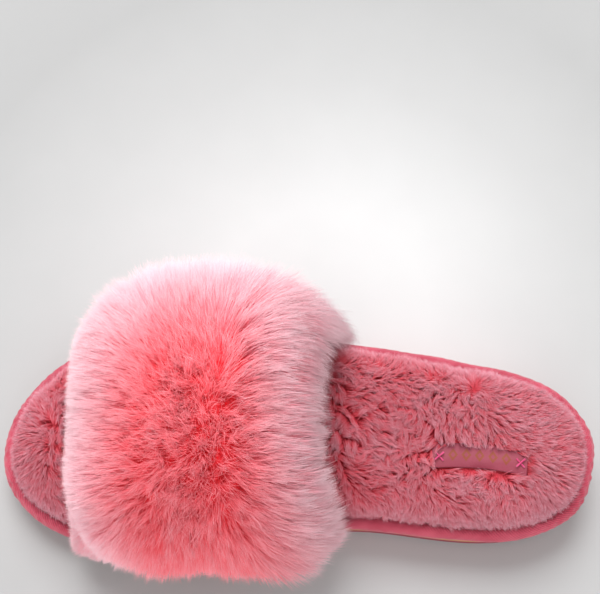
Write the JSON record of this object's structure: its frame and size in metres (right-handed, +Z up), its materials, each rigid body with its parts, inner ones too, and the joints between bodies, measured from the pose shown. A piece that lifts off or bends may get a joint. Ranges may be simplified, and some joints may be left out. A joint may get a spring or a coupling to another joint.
{
  "type": "house slipper",
  "caption": "Right open-toed house slipper: layered foam and rubber sole, curly plush insole in a cloth edge wrap, and a wide padded strap covered in long soft fur.",
  "frame": {"origin": "on the ground, under the middle of the slipper's length and width, fur included", "axes": "+Z up from the ground, +Y from the toe to the heel along the slipper's length, +X towards the inner (arch) side"},
  "size_m": [0.132, 0.255, 0.102],
  "materials": {
    "outsole_rubber": "matte, finely speckled moulded rubber",
    "tan_eva": "matte foam",
    "pink_eva": "matte foam with fine streaks",
    "fibre_board": "raw pressed fibre",
    "footbed_foam": "open-cell foam",
    "wrap_cloth": "twill cloth",
    "wrap_thread": "polyester thread",
    "plush": "short curly pile",
    "label_ribbon": "satin ribbon",
    "label_thread": "polyester thread",
    "fur": "long soft pile",
    "interlining": "non-woven sheet",
    "strap_foam": "open-cell foam",
    "lining": "brushed knit",
    "strap_thread": "polyester thread"
  },
  "bodies": {
    "root": {"outsole": "outsole_rubber", "midsole_stripe": "tan_eva", "midsole_wedge": "pink_eva", "insole_board": "fibre_board", "footbed_foam": "footbed_foam", "side_wrap": "wrap_cloth", "edge_stitching": "wrap_thread", "insole_plush": "plush", "label": "label_ribbon", "label_stitching": "label_thread", "strap_fur": "fur", "strap_interlining": "interlining", "strap_foam": "strap_foam", "strap_lining": "lining", "strap_front_stitching": "strap_thread", "strap_rear_stitching": "strap_thread"}
  },
  "joints": []
}
